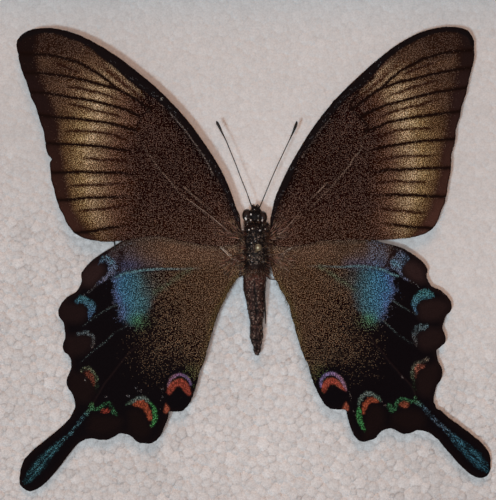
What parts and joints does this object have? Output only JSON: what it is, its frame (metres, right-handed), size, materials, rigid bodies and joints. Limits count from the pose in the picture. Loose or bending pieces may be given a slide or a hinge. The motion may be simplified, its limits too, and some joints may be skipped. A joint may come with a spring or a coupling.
{
  "type": "framed butterfly specimen",
  "caption": "Spread dark swallowtail butterfly pinned on a white foam sheet inside a plain square wooden box frame, for display on a wall or table.",
  "frame": {"origin": "centre of the frame's back face, at the bottom of the bounding box", "axes": "+Z out of the frame's front towards the viewer, +Y towards the butterfly's head, +X to the viewer's right"},
  "size_m": [0.16, 0.16, 0.045],
  "materials": {
    "rail_wood": "satin waxed",
    "backing_hardboard": "matt pressed fibre",
    "foam_beads": "expanded polystyrene beads",
    "pin_brass": "polished",
    "body_fur": "short dark hair and scales",
    "body_cuticle": "dark horn-like cuticle, slightly glossy",
    "forewing_scales": "fine dusted scales, soft sheen",
    "hindwing_scales": "fine dusted scales, soft sheen"
  },
  "bodies": {
    "root": {"frame_rail_bottom": "rail_wood", "frame_rail_top": "rail_wood", "frame_rail_left": "rail_wood", "frame_rail_right": "rail_wood", "backing_board": "backing_hardboard", "foam_board": "foam_beads", "insect_pin": "pin_brass", "head": "body_cuticle", "thorax": "body_fur", "abdomen": "body_fur", "forewing_left": "forewing_scales", "forewing_right": "forewing_scales", "hindwing_left": "hindwing_scales", "hindwing_right": "hindwing_scales", "antenna_left": "body_cuticle", "antenna_right": "body_cuticle", "fore_leg_left": "body_cuticle", "fore_leg_right": "body_cuticle", "mid_leg_left": "body_cuticle", "mid_leg_right": "body_cuticle", "hind_leg_left": "body_cuticle", "hind_leg_right": "body_cuticle"}
  },
  "joints": []
}
